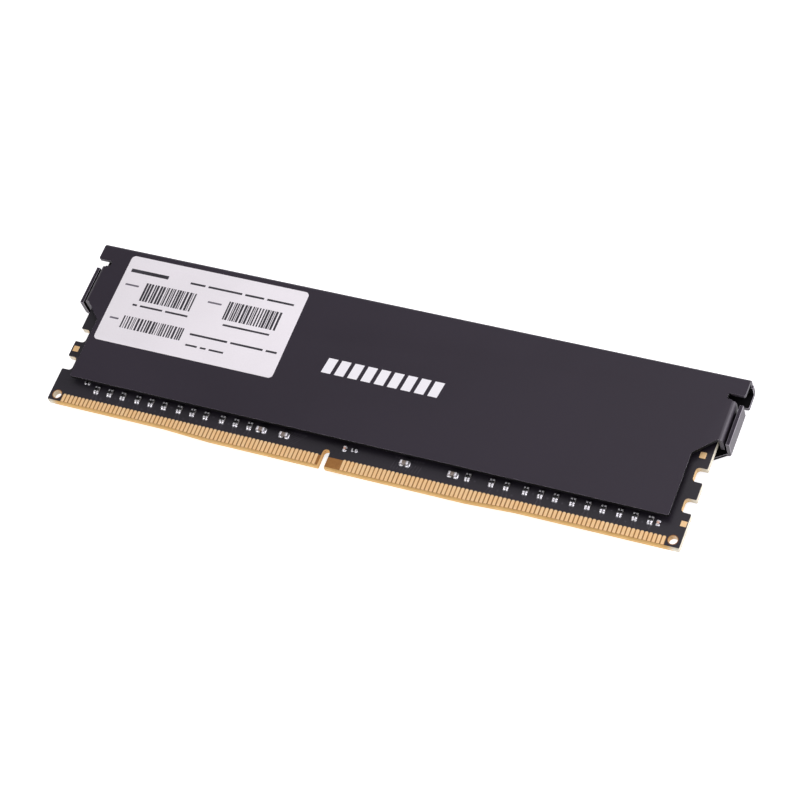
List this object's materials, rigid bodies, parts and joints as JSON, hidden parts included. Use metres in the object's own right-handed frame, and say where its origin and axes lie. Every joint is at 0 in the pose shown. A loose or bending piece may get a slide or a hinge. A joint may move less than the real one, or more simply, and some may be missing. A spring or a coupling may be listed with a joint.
{
  "type": "memory module",
  "caption": "Desktop computer memory module: an edge-contact circuit board carrying memory chips, between two folded black sheet-metal heat spreaders.",
  "frame": {"origin": "centre of the bounding box's underside: the middle of the lower heat spreader's outer face", "axes": "+X along the module, +Y from the contact edge to the top edge, +Z from the lower heat spreader to the upper one that carries the label"},
  "size_m": [0.1388, 0.037, 0.0055],
  "materials": {
    "solder_mask": "satin black solder mask over glass-epoxy laminate, bare tan laminate at the cut edges",
    "gold_contacts": "bright gold plating",
    "chip_package": "matt black moulded epoxy",
    "resistor_body": "black glazed ceramic with tinned ends",
    "capacitor_body": "brown-grey ceramic with tinned ends",
    "thermal_pad": "soft grey silicone",
    "spreader_paint": "fine matt charcoal paint on aluminium sheet",
    "label_film": "satin white printed film"
  },
  "bodies": {
    "root": {"circuit_board": "solder_mask", "contacts_upper_left": "gold_contacts", "contacts_upper_right": "gold_contacts", "contacts_lower_left": "gold_contacts", "contacts_lower_right": "gold_contacts", "dram_chip_1": "chip_package", "dram_chip_2": "chip_package", "dram_chip_3": "chip_package", "dram_chip_4": "chip_package", "dram_chip_5": "chip_package", "dram_chip_6": "chip_package", "dram_chip_7": "chip_package", "dram_chip_8": "chip_package", "spd_eeprom": "chip_package", "capacitor_lower_1": "capacitor_body", "capacitor_lower_2": "capacitor_body", "capacitor_lower_3": "capacitor_body", "capacitor_lower_4": "capacitor_body", "capacitor_lower_5": "capacitor_body", "capacitor_lower_6": "capacitor_body", "capacitor_lower_7": "capacitor_body", "capacitor_lower_8": "capacitor_body", "resistor_array_01": "resistor_body", "resistor_array_02": "resistor_body", "resistor_array_03": "resistor_body", "resistor_array_04": "resistor_body", "resistor_array_05": "resistor_body", "resistor_array_06": "resistor_body", "resistor_array_07": "resistor_body", "resistor_array_08": "resistor_body", "resistor_array_09": "resistor_body", "resistor_array_10": "resistor_body", "resistor_array_11": "resistor_body", "resistor_array_12": "resistor_body", "resistor_array_13": "resistor_body", "resistor_array_14": "resistor_body", "resistor_array_15": "resistor_body", "resistor_array_16": "resistor_body", "resistor_array_17": "resistor_body", "resistor_array_18": "resistor_body", "resistor_array_19": "resistor_body", "resistor_array_20": "resistor_body", "resistor_array_21": "resistor_body", "resistor_array_22": "resistor_body", "resistor_array_23": "resistor_body", "resistor_array_24": "resistor_body", "capacitor_upper_1": "capacitor_body", "capacitor_upper_2": "capacitor_body", "capacitor_upper_3": "capacitor_body", "capacitor_upper_4": "capacitor_body", "resistor_upper_1": "resistor_body", "resistor_upper_2": "resistor_body", "resistor_upper_3": "resistor_body", "resistor_upper_4": "resistor_body", "thermal_pad_upper": "thermal_pad", "thermal_pad_lower": "thermal_pad", "heat_spreader_upper": "spreader_paint", "heat_spreader_lower": "spreader_paint", "label": "label_film"}
  },
  "joints": []
}
